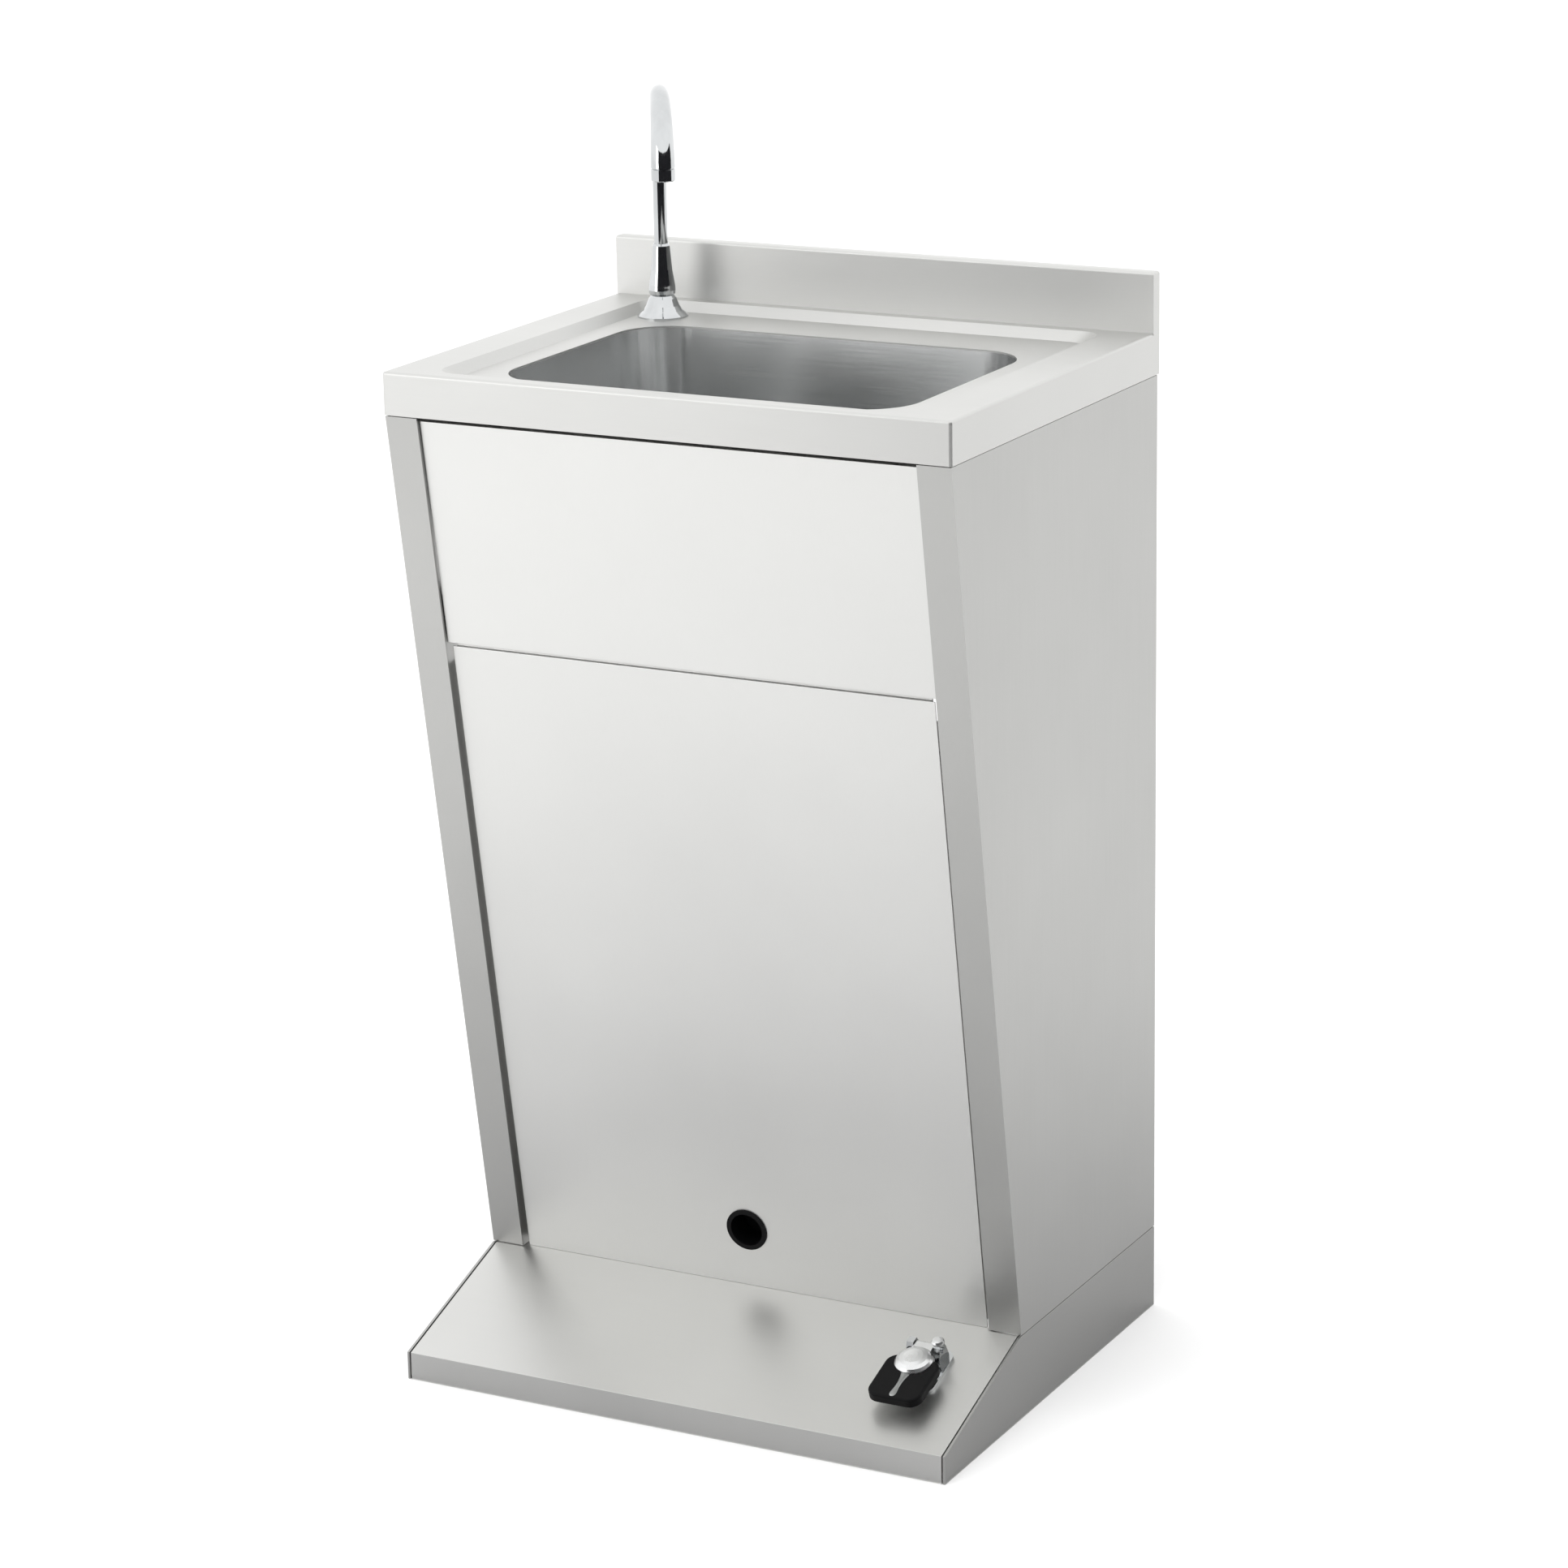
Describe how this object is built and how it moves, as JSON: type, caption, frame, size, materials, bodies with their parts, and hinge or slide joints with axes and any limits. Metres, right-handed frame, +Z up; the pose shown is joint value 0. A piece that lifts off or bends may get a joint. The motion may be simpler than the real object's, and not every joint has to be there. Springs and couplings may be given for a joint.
{
  "type": "pedestal hand-wash basin",
  "caption": "Free-standing stainless pedestal basin with a recessed bowl, swan-neck spout, leaning front with a lift-up access panel, and a foot pedal on a sloped toe plate.",
  "frame": {"origin": "on the floor, at the centre of the base's footprint", "axes": "+X to the user's right, +Y towards the wall behind, +Z up"},
  "size_m": [0.5, 0.415, 1.0447],
  "materials": {
    "satin_stainless": "satin brushed stainless sheet",
    "polished_chrome": "polished chrome plate",
    "black_rubber": "matt black rubber",
    "white_plastic": "white polypropylene",
    "nickelled_brass": "nickelled brass",
    "braided_hose": "rubber hose in a stainless braid",
    "magnet_housing": "black moulded magnet housing",
    "zinc_fastener": "bright zinc-plated steel"
  },
  "bodies": {
    "cabinet": {"bowl": "satin_stainless", "bowl_strainer": "polished_chrome", "delivery_hose": "braided_hose", "floor_rail": "satin_stainless", "flow_screw": "polished_chrome", "inlet_union": "nickelled_brass", "panel_guide_rail": "satin_stainless", "panel_magnets": "magnet_housing", "pedal_bracket": "polished_chrome", "pedal_pin": "polished_chrome", "plinth_nuts": "zinc_fastener", "plinth_screws": "zinc_fastener", "plinth_side_left": "satin_stainless", "plinth_side_right": "satin_stainless", "side_panel_left": "satin_stainless", "side_panel_right": "satin_stainless", "spout_seal_ring": "black_rubber", "supply_hose": "braided_hose", "supply_hose_nut": "nickelled_brass", "tail_pipe": "white_plastic", "tap_backnut": "nickelled_brass", "tap_body": "polished_chrome", "tap_hose_nut": "nickelled_brass", "tap_washer": "black_rubber", "top_nuts": "zinc_fastener", "top_screws": "zinc_fastener", "trap_cap": "white_plastic", "trap_cup": "white_plastic", "trap_outlet_nut": "white_plastic", "trap_top_nut": "white_plastic", "tread_plate": "satin_stainless", "union_locknut": "nickelled_brass", "upper_front_panel": "satin_stainless", "valve_body": "nickelled_brass", "valve_inlet_nut": "nickelled_brass", "valve_locknut": "nickelled_brass", "valve_outlet_nut": "nickelled_brass", "valve_spring": "zinc_fastener", "wall_rail": "satin_stainless", "waste_cup": "white_plastic", "waste_gasket": "black_rubber", "waste_pipe": "white_plastic", "waste_slip_nut": "white_plastic", "worktop": "satin_stainless"},
    "spout": {"swan_neck_spout": "polished_chrome", "spout_aerator": "polished_chrome"},
    "access_panel": {"access_panel": "satin_stainless", "finger_pull_cup": "black_rubber"},
    "pedal": {"foot_pedal": "polished_chrome", "pedal_cover": "black_rubber"},
    "plunger": {"valve_plunger": "nickelled_brass", "valve_washer": "black_rubber"}
  },
  "joints": [
    {"name": "spout_swivel", "type": "hinge", "parent": "cabinet", "child": "spout", "pos_m": [-0.182, 0.153, 0.9], "axis": [0, 0, 1], "range_deg": [-60, 60]},
    {"name": "pedal_press", "type": "hinge", "parent": "cabinet", "child": "pedal", "pos_m": [0.187, -0.1133, 0.07009], "axis": [1, 0, 0], "range_deg": [0, 8], "stiffness_Nm_per_rad": 6, "springref_deg": -6.88},
    {"name": "valve_stroke", "type": "slide", "parent": "cabinet", "child": "plunger", "axis": [0, 0.3202, -0.9473], "range_m": [0, 0.0032]},
    {"name": "panel_lift", "type": "slide", "parent": "cabinet", "child": "access_panel", "axis": [0, -0.156, 0.9878], "range_m": [0, 0.016]}
  ],
  "couplings": [
    {"joint": "valve_stroke", "follows": "pedal_press", "m_per_rad": 0.022}
  ]
}
